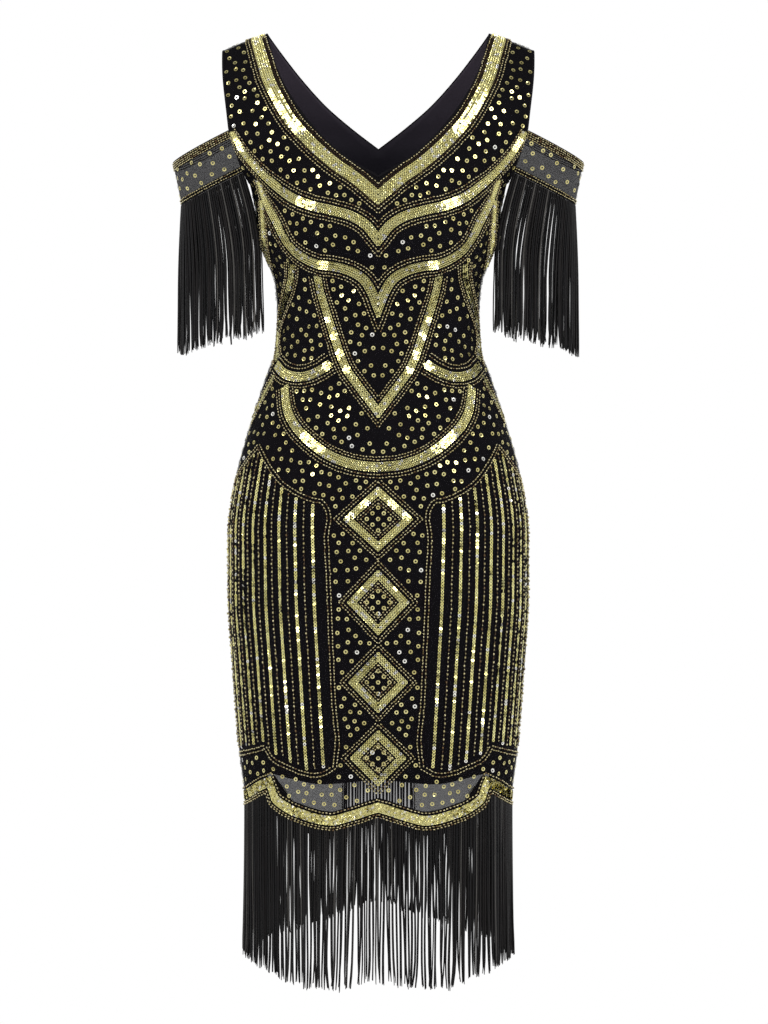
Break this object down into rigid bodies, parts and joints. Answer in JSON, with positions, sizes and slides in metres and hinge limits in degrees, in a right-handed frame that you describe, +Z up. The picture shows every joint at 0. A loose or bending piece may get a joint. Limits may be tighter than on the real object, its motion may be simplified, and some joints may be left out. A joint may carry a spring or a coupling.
{
  "type": "flapper dress",
  "caption": "Worn-shape V-neck flapper dress: beaded sheer mesh over a shorter lining, cold-shoulder strips and long fringe at arms and hem.",
  "frame": {"origin": "middle of the shoulder line, midway between the tops of the two shoulder straps, where the wearer's shoulders hold the dress", "axes": "+Z up along the dress, -Y out of its front, +X to the right as seen from the front"},
  "size_m": [0.492, 0.241, 1.1328],
  "materials": {
    "beaded_mesh": "fine black net, sheer where nothing lies behind it",
    "lining": "smooth black stretch lining",
    "fringe": "twisted black chainette yarn with a slight sheen",
    "sequins": "mirror-bright greenish gold film",
    "beads": "small glossy brown-gold beads"
  },
  "bodies": {
    "root": {"front_panel": "beaded_mesh", "back_panel": "beaded_mesh", "sleeve_band_left": "beaded_mesh", "sleeve_band_right": "beaded_mesh", "front_lining": "lining", "back_lining": "lining", "hem_fringe_front": "fringe", "hem_fringe_back": "fringe", "sleeve_fringe_left": "fringe", "sleeve_fringe_right": "fringe"}
  },
  "joints": []
}
